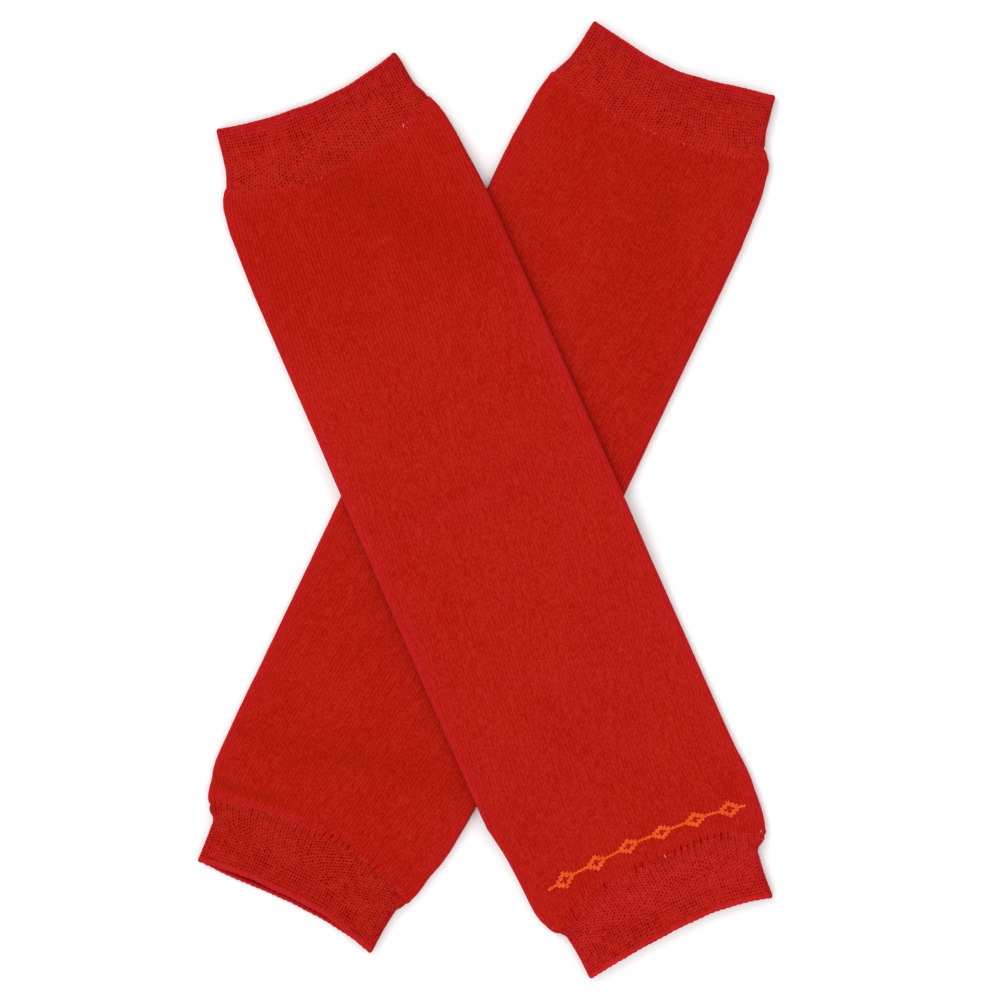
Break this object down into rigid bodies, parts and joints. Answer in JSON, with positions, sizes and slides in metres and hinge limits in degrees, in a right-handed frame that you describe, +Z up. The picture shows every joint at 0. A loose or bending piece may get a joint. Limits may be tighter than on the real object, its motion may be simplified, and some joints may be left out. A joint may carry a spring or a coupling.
{
  "type": "pair of baby leg warmers",
  "caption": "Pair of footless knitted tubes for a baby's legs with openwork cuffs, laid flat and crossed in an X.",
  "frame": {"origin": "on the surface the pair lies on, under the middle of its bounding box", "axes": "+X to the right of the crossed pair, +Y up the page towards the two top cuffs, +Z up from the surface"},
  "size_m": [0.1912, 0.3168, 0.0061],
  "materials": {
    "leg_knit": "matt plain cotton jersey, deep red",
    "cuff_knit": "matt openwork cotton knit, slightly crimson red",
    "border_yarn": "matt orange yarn, knitted in"
  },
  "bodies": {
    "root": {"over_leg": "leg_knit", "over_top_cuff": "cuff_knit", "over_bottom_cuff": "cuff_knit", "under_leg": "leg_knit", "under_top_cuff": "cuff_knit", "under_bottom_cuff": "cuff_knit"}
  },
  "joints": []
}
